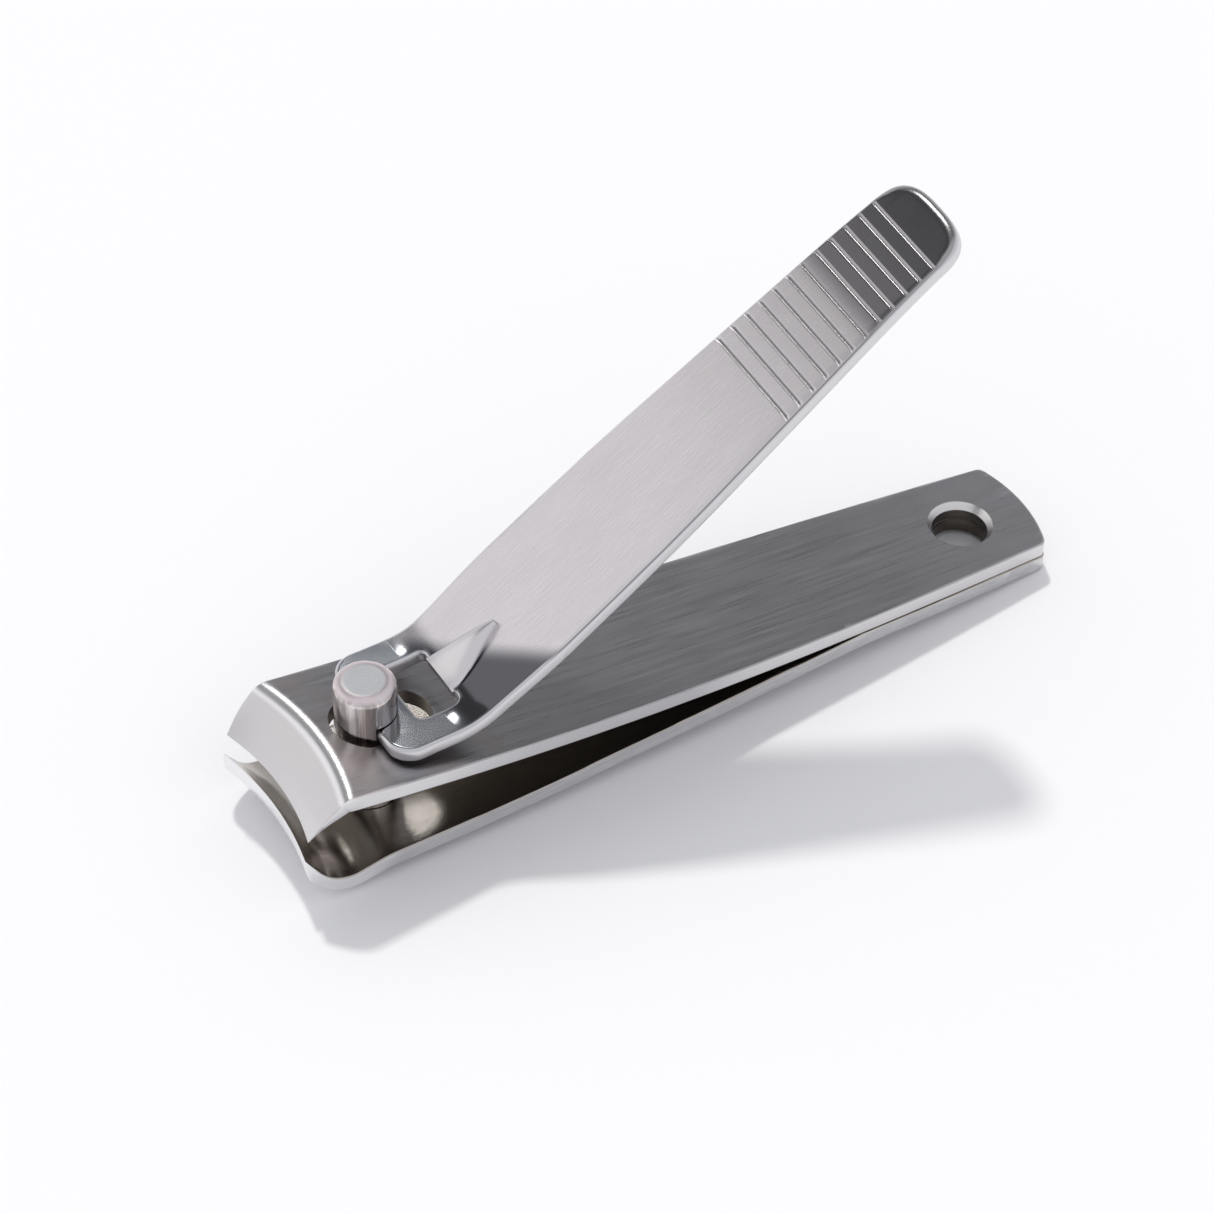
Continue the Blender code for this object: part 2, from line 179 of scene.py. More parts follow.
def along(bends, start, heading, run, distance):
    """The point and heading at a distance along a strip's top line; run is -1 towards the jaws."""
    x, z = start
    angle = math.radians(heading)
    for length, turn in bends:
        step = min(length, distance)
        curl = math.radians(turn) * step / length
        chord = step
        if abs(curl) > 1e-9:
            chord = step * math.sin(curl / 2) / (curl / 2)
        x += run * chord * math.cos(angle + curl / 2)
        z += chord * math.sin(angle + curl / 2)
        angle += curl
        distance -= step
        if distance <= 0:
            break
    if distance > 0:
        x += run * distance * math.cos(angle)
        z += distance * math.sin(angle)
    return x, z, angle


def total_length(bends):
    return sum(length for length, turn in bends)


def between(table, value):
    """Straight-line interpolation in a table of (value, result)."""
    for (low, first), (high, second) in zip(table, table[1:]):
        if value <= high:
            share = max(0.0, (value - low) / (high - low))
            return first + share * (second - first)
    return table[-1][1]


def ease(value):
    value = min(1.0, max(0.0, value))
    return value * value * (3 - 2 * value)


def stations(bends, longest, finest_turn):
    """Distances along a strip at which it is scored before bending."""
    found = [0.0]
    for length, turn in bends:
        pieces = max(1, math.ceil(length / longest), math.ceil(abs(turn) / finest_turn))
        found += [found[-1] + length * (i + 1) / pieces for i in range(pieces)]
    return found[1:-1]


def arc(centre, radius, first, last, pieces):
    """Points (x, y) on an arc, angles in degrees."""
    found = []
    for i in range(pieces + 1):
        angle = math.radians(first + (last - first) * i / pieces)
        found.append((centre[0] + radius * math.cos(angle), centre[1] + radius * math.sin(angle)))
    return found


def full_circle(centre, radius, pieces):
    return arc(centre, radius, 0, 360 - 360 / pieces, pieces - 1)


def flat_blank(outline, holes, thickness, edge):
    """A bmesh of the flat blank in millimetres, its top at Z = 0 and its edges rounded."""
    curve = bpy.data.curves.new("blank", "CURVE")
    curve.dimensions = "2D"
    curve.fill_mode = "BOTH"
    for ring in [outline] + holes:
        spline = curve.splines.new("POLY")
        spline.points.add(len(ring) - 1)
        for point, (x, y) in zip(spline.points, ring):
            point.co = (x, y, 0.0, 1.0)
        spline.use_cyclic_u = True
    curve.extrude = thickness / 2 - edge
    curve.bevel_depth = edge
    curve.bevel_resolution = 3
    curve.offset = -edge
    holder = bpy.data.objects.new("blank", curve)
    bpy.context.scene.collection.objects.link(holder)
    bpy.context.view_layer.update()
    graph = bpy.context.evaluated_depsgraph_get()
    mesh = bpy.data.meshes.new_from_object(holder.evaluated_get(graph))
    bpy.data.objects.remove(holder)
    shape = bmesh.new()
    shape.from_mesh(mesh)
    bpy.data.meshes.remove(mesh)
    bmesh.ops.remove_doubles(shape, verts=shape.verts, dist=0.002)
    bmesh.ops.dissolve_limit(
        shape, angle_limit=math.radians(0.5), verts=shape.verts, edges=shape.edges,
        use_dissolve_boundaries=False,
    )
    for vert in shape.verts:
        vert.co.z -= thickness / 2
    return shape


def score(shape, axis, places):
    """Cuts the blank's faces at these places, so that it can bend there."""
    for place in places:
        geometry = shape.verts[:] + shape.edges[:] + shape.faces[:]
        normal = Vector((0.0, 0.0, 0.0))
        normal[axis] = 1.0
        bmesh.ops.bisect_plane(shape, geom=geometry, plane_co=normal * place, plane_no=normal, dist=0.004)


def piece(name, shape, material):
    """An object from a bmesh in millimetres measured from the cutting edges."""
    for vert in shape.verts:
        vert.co = Vector((vert.co.x - MIDDLE, vert.co.y, vert.co.z)) * MM
    bmesh.ops.recalc_face_normals(shape, faces=shape.faces)
    mesh = bpy.data.meshes.new(name)
    shape.to_mesh(mesh)
    shape.free()
    obj = bpy.data.objects.new(name, mesh)
    bpy.context.scene.collection.objects.link(obj)
    if material:
        mesh.materials.append(material)
    return obj


def cut(obj, cutter, operation="DIFFERENCE"):
    """Applies a Boolean, merges the slivers it leaves and removes its cutter."""
    boolean = obj.modifiers.new("cut", "BOOLEAN")
    boolean.solver = "EXACT"
    boolean.operation = operation
    boolean.object = cutter
    graph = bpy.context.evaluated_depsgraph_get()
    mesh = bpy.data.meshes.new_from_object(obj.evaluated_get(graph))
    obj.modifiers.clear()
    shape = bmesh.new()
    shape.from_mesh(mesh)
    bmesh.ops.remove_doubles(shape, verts=shape.verts, dist=SLIVER)
    shape.to_mesh(mesh)
    shape.free()
    obj.data = mesh
    bpy.data.objects.remove(cutter)


def smooth(obj, angle):
    obj.data.shade_smooth()
    obj.data.set_sharp_from_angle(angle=math.radians(angle))
    weighted = obj.modifiers.new("even_normals", "WEIGHTED_NORMAL")
    weighted.keep_sharp = True


def upright_ring(points, low, high):
    """An upright prism on a closed ring of (x, y) points."""
    shape = bmesh.new()
    bottom = [shape.verts.new((x, y, low)) for x, y in points]
    top = [shape.verts.new((x, y, high)) for x, y in points]
    shape.faces.new(list(reversed(bottom)))
    shape.faces.new(top)
    for i in range(len(points)):
        j = (i + 1) % len(points)
        shape.faces.new((bottom[i], bottom[j], top[j], top[i]))
    return piece("cutter", shape, None)


def cap(half_width, length, power, pieces):
    """Points (distance from the tip, half width) of a rounded end, from the tip to its full width."""
    found = []
    for i in range(1, pieces + 1):
        angle = math.pi / 2 * i / pieces
        across = half_width * math.sin(angle) ** (2 / power)
        back = length * (1 - math.cos(angle) ** (2 / power))
        found.append((back, across))
    return found


def arm_half_width(from_edge):
    return ARM_WIDEST - ARM_TAPER * (from_edge - WIDEST_FROM_EDGE) ** 2


def rear_cap(length, pieces, corner_pieces):
    """Points (distance from the rear end, half width): one wide arc, then a small rounded corner."""
    found = []
    wide = arm_half_width(length - 1.0)
    first = wide - REAR_CORNER
    for i in range(1, pieces + 1):
        across = first * i / pieces
        found.append((REAR_RADIUS - math.sqrt(REAR_RADIUS ** 2 - across ** 2), across))
    corner = REAR_RADIUS - math.sqrt(REAR_RADIUS ** 2 - wide ** 2)
    last = (corner + REAR_CORNER, arm_half_width(length - corner - REAR_CORNER))
    begin = found[-1]
    for i in range(1, corner_pieces + 1):
        share = i / corner_pieces
        found.append(tuple(
            (1 - share) ** 2 * a + 2 * share * (1 - share) * b + share ** 2 * c
            for a, b, c in zip(begin, (corner, wide), last)
        ))
    return found


def arm_outline(length):
    """The arm's outline, distances from the rear end, anticlockwise."""
    side = rear_cap(length, 30, 10)
    start = side[-1][0]
    places = [start + (length - LIP_LENGTH - start) * i / 40 for i in range(1, 41)]
    side += [(place, arm_half_width(length - place)) for place in places]
    ridge = side[-1][1]
    for i in range(1, 9):
        share = i / 8
        side.append((length - LIP_LENGTH * (1 - share), ridge + (LIP_HALF_WIDTH - ridge) * share ** 1.5))
    near = [(x, -y) for x, y in side]
    far = [(x, y) for x, y in reversed(side)]
    return [(0.0, 0.0)] + near + far


def lay_out(obj, bends, start, heading, run, grind=None, hollow=0.0):
    """Stores each point's distance along its strip, its place across and its depth, in millimetres."""
    mesh = obj.data
    total = total_length(bends)
    distances = np.linspace(0.0, total, 900)
    path = np.array([along(bends, start, heading, run, distance) for distance in distances])
    co = np.empty(len(mesh.vertices) * 3)
    mesh.vertices.foreach_get("co", co)
    co = co.reshape(-1, 3) / MM
    co[:, 0] += MIDDLE
    across = 1 - (co[:, 1] / LIP_HALF_WIDTH) ** 2
    x = co[:, 0].copy()
    for step in range(4 if hollow else 1):
        found = []
        for i in range(0, len(x), 1000):
            onward = x[i:i + 1000, None] - path[:, 0]
            upward = co[i:i + 1000, 2, None] - path[:, 1]
            found.append(np.argmin(onward ** 2 + upward ** 2, axis=1))
        nearest = np.concatenate(found)
        fade = np.clip((BOW_ENDS_AT - path[nearest, 0]) / BOW_FADE, 0.0, 1.0)
        if hollow:
            x = co[:, 0] - hollow * across * fade * fade * (3 - 2 * fade)
    angle = path[nearest, 2]
    aside, above = x - path[nearest, 0], co[:, 2] - path[nearest, 1]
    place = distances[nearest] + run * aside * np.cos(angle) + above * np.sin(angle)
    depth = -run * aside * np.sin(angle) + above * np.cos(angle)
    if grind:
        depth *= ARM_THICKNESS / np.array([between(grind, total - distance) for distance in place])
    layer = mesh.attributes.new("sheet", "FLOAT_VECTOR", "POINT")
    layer.data.foreach_set("vector", np.stack([place, co[:, 1], depth], axis=1).ravel())


def arm(name, bends, rear_top, grind, hollow, material):
    """One arm: blank, scored, bent, with its lip ground thin and hollowed to the nail's curve."""
    length = total_length(bends)
    hole = full_circle((LENGTH - REAR_HOLE_AT, 0.0), REAR_HOLE_RADIUS, HOLE_PIECES)
    shape = flat_blank(arm_outline(length), [hole], ARM_THICKNESS, ARM_EDGE)
    score(shape, 0, stations(bends, 1.6, 3.0))
    score(shape, 0, [length - place for place, left in grind[1:-1]])
    score(shape, 1, ARM_SCORES)
    for vert in shape.verts:
        distance, y, depth = vert.co
        x, z, angle = along(bends, (LENGTH, rear_top), REAR_PITCH, -1, distance)
        depth *= between(grind, length - distance) / ARM_THICKNESS
        bow = hollow * (1 - (y / LIP_HALF_WIDTH) ** 2) * ease((BOW_ENDS_AT - x) / BOW_FADE)
        vert.co = (x + depth * math.sin(angle) + bow, y, z + depth * math.cos(angle))
    return piece(name, shape, material)


def pin_hole():
    return upright_ring(full_circle((PIN_AT, 0.0), PIN_RADIUS + PIN_RUNNING_GAP, HOLE_PIECES), -1.0, 6.0)


def pin_slot():
    points = arc((PIN_AT, 0.0), SLOT_FRONT_RADIUS, 110, 250, 36)
    rear = SLOT_REAR_AT - SLOT_HALF_WIDTH
    points += arc((rear, 0.0), SLOT_HALF_WIDTH, -90, 90, 36)
    return upright_ring(points, 4.0, 14.0)


def hole_bevel():
    """Opens the upper arm's rear hole towards its top."""
    x, z, angle = along(UPPER_BENDS, (LENGTH, UPPER_REAR_TOP), REAR_PITCH, -1, LENGTH - REAR_HOLE_AT)
    spread = REAR_BEVEL_RADIUS - REAR_HOLE_RADIUS
    middle = Matrix.Translation(Vector((0.0, 0.0, -REAR_BEVEL_DEPTH / 2)))
    shape = bmesh.new()
    bmesh.ops.create_cone(
        shape, cap_ends=True, segments=HOLE_PIECES, depth=1.2 * REAR_BEVEL_DEPTH,
        radius1=REAR_HOLE_RADIUS - 0.1 * spread, radius2=REAR_BEVEL_RADIUS + 0.1 * spread,
        matrix=Matrix.Translation(Vector((x, 0.0, z))) @ Matrix.Rotation(angle, 4, "Y") @ middle,
    )
    return piece("cutter", shape, None)


def pivot_pin(material):
    """Turned pin: foot below the lower arm, shank, and a notched head that holds the crossbar."""
    profile = [(0.0, PIN_TOP), (PIN_TOP_FLAT_RADIUS, PIN_TOP)]
    for i in range(1, 11):
        angle = math.radians(90 * i / 10)
        across = PIN_TOP_FLAT_RADIUS + (PIN_RADIUS - PIN_TOP_FLAT_RADIUS) * math.sin(angle)
        profile.append((across, PIN_SHOULDER + (PIN_TOP - PIN_SHOULDER) * math.cos(angle)))
    profile += [(PIN_RADIUS, FOOT_THICKNESS), (PIN_RADIUS + 0.15, FOOT_THICKNESS), (FOOT_RADIUS, FOOT_EDGE)]
    profile += [(FOOT_RADIUS, 0.2), (FOOT_RADIUS - 0.2, 0.0), (0.0, 0.0)]
    shape = bmesh.new()
    rings = []
    for across, z in profile[1:-1]:
        circle = full_circle((0.0, 0.0), across, PIN_PIECES)
        rings.append([shape.verts.new((PIN_AT + x, y, z)) for x, y in circle])
    for upper, lower in zip(rings, rings[1:]):
        for i in range(PIN_PIECES):
            j = (i + 1) % PIN_PIECES
            shape.faces.new((upper[i], lower[i], lower[j], upper[j]))
    shape.faces.new(rings[0])
    shape.faces.new(list(reversed(rings[-1])))
    obj = piece("pin_visual", shape, material)
    notch = bmesh.new()
    bmesh.ops.create_cube(notch, size=1.0)
    for vert in notch.verts:
        vert.co = Vector((
            NOTCH_FRONT_AT + (vert.co.x + 0.5) * 5.0,
            vert.co.y * 8.0,
            NOTCH_FLOOR + (vert.co.z + 0.5) * (NOTCH_ROOF - NOTCH_FLOOR),
        ))
    cut(obj, piece("cutter", notch, None))
    return obj


def lever_half_width(distance):
    past = distance - TAPER_START
    taper = LEVER_TAPER * 0.5 * (past + math.sqrt(past * past + TAPER_BLEND ** 2))
    front = (LEVER_WIDEST - PRONG_HALF_WIDTH) * (1 - ease((distance - 6.0) / 8.0))
    return LEVER_WIDEST - taper - front


def lever_outline(length):
    corner = (LEVER_FRONT_CORNER, PRONG_HALF_WIDTH - LEVER_FRONT_CORNER)
    side = arc(corner, LEVER_FRONT_CORNER, 180, 90, 16)
    straight = length - LEVER_END_CAP - LEVER_FRONT_CORNER
    places = [LEVER_FRONT_CORNER + straight * i / 44 for i in range(1, 45)]
    side += [(place, lever_half_width(place)) for place in places]
    end = cap(side[-1][1], LEVER_END_CAP, LEVER_END_POWER, 24)
    side += [(length - back, across) for back, across in reversed(end[:-1])]
    near = [(x, -y) for x, y in side]
    far = [(x, y) for x, y in reversed(side)]
    return near + [(length, 0.0)] + far


def widen_end_edge(shape, length):
    """Draws the rounded top edge further in around the lever's free end."""
    half = lever_half_width(length - 2.0)
    for vert in shape.verts:
        x, y, z = vert.co
        share = min(1.0, (x - length + 2.8) / 0.8)
        if share <= 0.0 or z < -LEVER_EDGE:
            continue
        inset = LEVER_EDGE - math.sqrt(max(0.0, LEVER_EDGE ** 2 - (z + LEVER_EDGE) ** 2))
        onward = max(0.0, 1.0 - (length - x) / LEVER_END_CAP) ** (LEVER_END_POWER - 1) / LEVER_END_CAP
        aside = math.copysign((abs(y) / half) ** (LEVER_END_POWER - 1) / half, y)
        vert.co -= Vector((onward, aside, 0.0)).normalized() * (inset * share * END_EDGE_WIDENING)


def groove(shape, distance):
    """Lowers the blank's top along a round-bottomed line across the strip."""
    lift = GROOVE_RADIUS - GROOVE_DEPTH
    half = math.sqrt(GROOVE_RADIUS ** 2 - lift ** 2)
    score(shape, 0, [distance + half * share for share in (-1.0, -0.7, -0.35, 0.0, 0.35, 0.7, 1.0)])
    for vert in shape.verts:
        aside = vert.co.x - distance
        if vert.co.z > -0.001 and abs(aside) < half:
            vert.co.z -= max(0.0, math.sqrt(GROOVE_RADIUS ** 2 - aside ** 2) - lift)


def thumb_lever(material):
    """The lever: bent blank with the crossbar's window, finger grooves and a rib in its bend."""
    length = total_length(LEVER_BENDS)
    start = (LEVER_FRONT_AT, LEVER_TOP)
    rear = CROSSBAR_WIDTH + WINDOW_LENGTH
    window = []
    back, front = rear - WINDOW_CORNER, CROSSBAR_WIDTH + WINDOW_CORNER
    for x, side, first in ((back, 1, 0), (front, 1, 90), (front, -1, 180), (back, -1, 270)):
        centre = (x, side * (WINDOW_HALF_WIDTH - WINDOW_CORNER))
        window += arc(centre, WINDOW_CORNER, first, first + 90, 8)
    shape = flat_blank(lever_outline(length), [window], LEVER_THICKNESS, LEVER_EDGE)
    score(shape, 0, stations(LEVER_BENDS, 3.0, 2.0))
    score(shape, 1, LEVER_SCORES)
    widen_end_edge(shape, length)
    for i in range(GROOVES):
        groove(shape, length - GROOVE_FROM_END - GROOVE_PITCH * i)
    for vert in shape.verts:
        distance, y, depth = vert.co
        x, z, angle = along(LEVER_BENDS, start, 0.0, 1, distance)
        vert.co = (x - depth * math.sin(angle), y, z + depth * math.cos(angle))
    obj = piece("lever_visual", shape, material)
    cut(obj, rib(start, rear), "UNION")
    cut(obj, nose_cutter(PIN_RADIUS + 0.4, -270))
    cut(obj, nose_cutter(PRONG_HALF_WIDTH + 1.0, -180))
    return obj


def rib(start, rear):
    """A tapering rib that stiffens the bend, from the window's rear edge up the strip."""
    shape = bmesh.new()
    rings = []
    for i in range(19):
        share = i / 18
        distance = rear - 0.1 + RIB_LENGTH * share
        x, z, angle = along(LEVER_BENDS, start, 0.0, 1, distance)
        wide = RIB_HALF_WIDTH * (1 - 0.86 * share ** 1.4)
        tall = RIB_HEIGHT * (0.25 + 1.35 * share - 1.15 * share ** 3)
        out = (-math.sin(angle), math.cos(angle))
        outline = [(-wide, -0.9)]
        for step in range(13):
            turn = math.pi * step / 12
            outline.append((-wide * math.cos(turn), 0.02 + tall * math.sin(turn)))
        outline.append((wide, -0.9))
        ring = []
        for y, lift in outline:
            ring.append(shape.verts.new((x + lift * out[0], y, z + lift * out[1])))
        rings.append(ring)
    for first, second in zip(rings, rings[1:]):
        for i in range(15):
            j = (i + 1) % 15
            shape.faces.new((first[i], first[j], second[j], second[i]))
    shape.faces.new(rings[0])
    shape.faces.new(list(reversed(rings[-1])))
    return piece("cutter", shape, None)


def nose_cutter(half, last):
    """Rounds the crossbar's front edge, from its underside up to the last angle in degrees."""
    radius = LEVER_THICKNESS / 2
    centre = (LEVER_FRONT_AT + radius, LEVER_TOP - radius)
    out = LEVER_FRONT_AT - 1.0
    ring = [(out, centre[1] - 1.5), (centre[0], centre[1] - 1.5)]
    ring += arc(centre, radius, -90, last, 14)
    if last < -180:
        ring.append((centre[0], centre[1] + 1.5))
    ring.append((out, ring[-1][1]))
    shape = bmesh.new()
    near = [shape.verts.new((x, -half, z)) for x, z in ring]
    far = [shape.verts.new((x, half, z)) for x, z in ring]
    shape.faces.new(near)
    shape.faces.new(list(reversed(far)))
    for i in range(len(ring)):
        j = (i + 1) % len(ring)
        shape.faces.new((near[i], far[i], far[j], near[j]))
    return piece("cutter", shape, None)


class Steel:
    """A steel's node tree, built a node at a time."""

    def __init__(self, name):
        self.material = bpy.data.materials.new(name)
        self.material.use_nodes = True
        self.nodes = self.material.node_tree.nodes
        self.links = self.material.node_tree.links
        self.shader = self.nodes["Principled BSDF"]
        self.shader.inputs["Metallic"].default_value = 1.0

    def put(self, value, socket):
        if hasattr(value, "is_output"):
            self.links.new(value, socket)
        elif hasattr(value, "__len__") and len(value) == 3 and socket.type == "RGBA":
            socket.default_value = (*value, 1.0)
        else:
            socket.default_value = value

    def attribute(self, name):
        node = self.nodes.new("ShaderNodeAttribute")
        node.attribute_name = name
        return node.outputs["Vector"]

    def place(self):
        """The point in the row frame, in metres."""
        return self.nodes.new("ShaderNodeTexCoord").outputs["Object"]

    def part(self, vector, axis):
        node = self.nodes.new("ShaderNodeSeparateXYZ")
        self.put(vector, node.inputs[0])
        return node.outputs[axis]

    def math(self, operation, a, b=0.0):
        node = self.nodes.new("ShaderNodeMath")
        node.operation = operation
        for socket, value in zip(node.inputs, (a, b)):
            self.put(value, socket)
        return node.outputs[0]

    def both(self, first, second):
        """One mask within another."""
        return self.math("MULTIPLY", first, second)

    def combined(self, *values):
        node = self.nodes.new("ShaderNodeCombineXYZ")
        for socket, value in zip(node.inputs, values):
            self.put(value, socket)
        return node.outputs[0]

    def radius(self, x, y):
        squares = self.math("ADD", self.math("MULTIPLY", x, x), self.math("MULTIPLY", y, y))
        return self.math("SQRT", squares)

    def less_where(self, height, mask):
        """The height with four fifths of it taken away where the mask is 1."""
        return self.math("MULTIPLY", height, self.math("SUBTRACT", 1.0, self.math("MULTIPLY", mask, 0.8)))

    def scaled(self, vector, scale):
        node = self.nodes.new("ShaderNodeVectorMath")
        node.operation = "MULTIPLY"
        self.put(vector, node.inputs[0])
        self.put(scale, node.inputs[1])
        return node.outputs[0]

    def noise(self, vector, detail=4.0, rough=0.6):
        node = self.nodes.new("ShaderNodeTexNoise")
        self.put(vector, node.inputs["Vector"])
        node.inputs["Scale"].default_value = 1.0
        node.inputs["Detail"].default_value = detail
        node.inputs["Roughness"].default_value = rough
        return node.outputs["Fac"]

    def ramp(self, value, low, high, first=0.0, last=1.0):
        """Goes smoothly from first to last as value goes from low to high."""
        node = self.nodes.new("ShaderNodeMapRange")
        node.interpolation_type = "SMOOTHSTEP"
        for socket, number in zip(node.inputs[:5], (value, low, high, first, last)):
            self.put(number, socket)
        return node.outputs[0]

    def mix(self, share, first, second, kind="RGBA"):
        node = self.nodes.new("ShaderNodeMix")
        node.data_type = kind
        index = {"FLOAT": (2, 3, 0), "RGBA": (6, 7, 2)}[kind]
        self.put(share, node.inputs[0])
        self.put(first, node.inputs[index[0]])
        self.put(second, node.inputs[index[1]])
        return node.outputs[index[2]]

    def bump(self, height, distance):
        node = self.nodes.new("ShaderNodeBump")
        node.inputs["Distance"].default_value = distance
        self.put(height, node.inputs["Height"])
        return node.outputs[0]

    def finish(self, colour, roughness, normal):
        self.put(colour, self.shader.inputs["Base Color"])
        self.put(roughness, self.shader.inputs["Roughness"])
        self.put(normal, self.shader.inputs["Normal"])
        return self.material


def reaching(bends, start, heading, run, x):
    """The distance along a strip at which it reaches x."""
    low, high = 0.0, total_length(bends)
    for step in range(40):
        middle = (low + high) / 2
        if run * (along(bends, start, heading, run, middle)[0] - x) < 0:
            low = middle
        else:
            high = middle
    return low


def rear_hole_radius(steel, place, across):
    """Distance from the rear hole's centre, in millimetres."""
    return steel.radius(steel.math("SUBTRACT", place, LENGTH - REAR_HOLE_AT), across)


def upper_steel(length):
    """Brushed along the arm, lighter at the lip and the sheared edge, with a painted highlight on its ridge
    and on the rear hole's bevel, and painted shade in the holes, on the slot's walls and underneath.
    """
    steel = Steel("upper_arm_steel")
    sheet = steel.attribute("sheet")
    place, across, depth = (steel.part(sheet, axis) for axis in range(3))
    fine = steel.noise(steel.scaled(sheet, (0.2, 6.5, 2.0)), 3.0)
    broad = steel.noise(steel.scaled(sheet, (0.1, 2.6, 1.0)), 2.0)
    cloud = steel.noise(steel.scaled(sheet, (0.3, 0.3, 0.3)), 3.0)
    grain = steel.mix(0.45, fine, broad, "FLOAT")
    is_lip = steel.ramp(place, length - 4.6, length - 4.35)
    is_side = steel.ramp(depth, -0.08, -0.15)
    under_shade = steel.ramp(depth, -1.1, -1.2)
    near_hole = steel.ramp(rear_hole_radius(steel, place, across), 2.6, 2.5)
    bore_shade = steel.both(near_hole, steel.ramp(depth, -0.46, -0.54))
    rim_highlight = steel.both(near_hole, steel.ramp(depth, -0.01, -0.03))
    # Brushed grain; the top's dark tone is partly painted reflection, and it lightens towards the rear end.
    brushed_with_painted_reflection = steel.mix(steel.ramp(grain, 0.36, 0.64), (0.388, 0.388, 0.402), (0.454, 0.45, 0.462))
    brushed_with_painted_reflection = steel.mix(steel.ramp(place, 16.0, 2.0), brushed_with_painted_reflection, (0.50, 0.50, 0.515))
    # Brownish cloudy patches on the top, stronger towards the front.
    front_warm_cloud = steel.both(
        steel.ramp(cloud, 0.42, 0.62), steel.ramp(place, length - 22.0, length - 9.0, 0.15, 0.8)
    )
    brushed_with_painted_reflection = steel.mix(front_warm_cloud, brushed_with_painted_reflection, (0.43, 0.39, 0.38))
    # Lighter towards the near side at the front of the top.
    near_front_lighter = steel.both(steel.ramp(place, length - 9.5, length - 6.0), steel.ramp(across, 2.0, -4.0, 0.0, 0.8))
    brushed_with_painted_reflection = steel.mix(near_front_lighter, brushed_with_painted_reflection, (0.82, 0.76, 0.75))
    # Painted highlight along the ridge where the lip bends down.
    ridge = sum(part[0] for part in UPPER_BENDS[:3])
    ridge_highlight = steel.both(
        steel.ramp(place, ridge - 0.05, ridge + 0.25), steel.ramp(place, ridge + 1.45, ridge + 1.05)
    )
    colour = steel.mix(is_lip, brushed_with_painted_reflection, (0.67, 0.655, 0.665))
    colour = steel.mix(ridge_highlight, colour, (0.9, 0.89, 0.895))
    colour = steel.mix(is_side, colour, (0.72, 0.71, 0.72))
    slot_rear, slot_front = (
        reaching(UPPER_BENDS, (LENGTH, UPPER_REAR_TOP), REAR_PITCH, -1, x)
        for x in (SLOT_REAR_AT + 0.4, PIN_AT - SLOT_FRONT_RADIUS - 0.3)
    )
    in_slot = steel.both(
        steel.ramp(place, slot_rear, slot_rear + 0.1), steel.ramp(place, slot_front, slot_front - 0.1)
    )
    in_slot = steel.both(in_slot, steel.ramp(steel.math("ABSOLUTE", across), 2.75, 2.65))
    # Painted shade on the slot's walls.
    colour = steel.mix(steel.both(is_side, in_slot), colour, (0.34, 0.31, 0.285))
    # Painted shade on the arm's underside.
    colour = steel.mix(under_shade, colour, (0.27, 0.25, 0.225))
    # Painted highlight on the rear hole's bevel.
    colour = steel.mix(rim_highlight, colour, (0.80, 0.79, 0.785))
    # Painted shade in the rear hole's bore.
    colour = steel.mix(bore_shade, colour, BORE_SHADE_COLOUR)
    rough = steel.mix(is_lip, steel.ramp(grain, 0.3, 0.7, 0.26, 0.34), 0.26, "FLOAT")
    rough = steel.mix(is_side, rough, 0.36, "FLOAT")
    return steel.finish(colour, rough, steel.bump(steel.less_where(fine, is_lip), ARM_GRAIN))


def lower_steel(length):
    """Smooth, with painted shade making it darker and warmer inside the jaws, the same sheared edge, and
    painted shade in the hole.
    """
    steel = Steel("lower_arm_steel")
    sheet = steel.attribute("sheet")
    place, across, depth = (steel.part(sheet, axis) for axis in range(3))
    fine = steel.noise(steel.scaled(sheet, (0.22, 11.0, 3.0)), 4.0)
    is_side = steel.ramp(depth, -0.07, -0.15)
    bore_shade = steel.ramp(rear_hole_radius(steel, place, across), 2.6, 2.5)
    # Inside the jaws: grain over a darker, warmer tone that is painted shade.
    top = steel.mix(steel.ramp(fine, 0.35, 0.65), (0.43, 0.40, 0.365), (0.50, 0.465, 0.425))
    edge = steel.mix(steel.ramp(fine, 0.35, 0.65), (0.62, 0.615, 0.63), (0.70, 0.695, 0.71))
    edge = steel.mix(steel.ramp(place, length - 9.0, length - 5.0), edge, (0.88, 0.875, 0.885))
    colour = steel.mix(is_side, top, edge)
    # Painted shade in the rear hole and a ring around it.
    colour = steel.mix(bore_shade, colour, BORE_SHADE_COLOUR)
    rough = steel.mix(is_side, 0.2, 0.34, "FLOAT")
    return steel.finish(colour, rough, steel.bump(fine, LOWER_GRAIN))


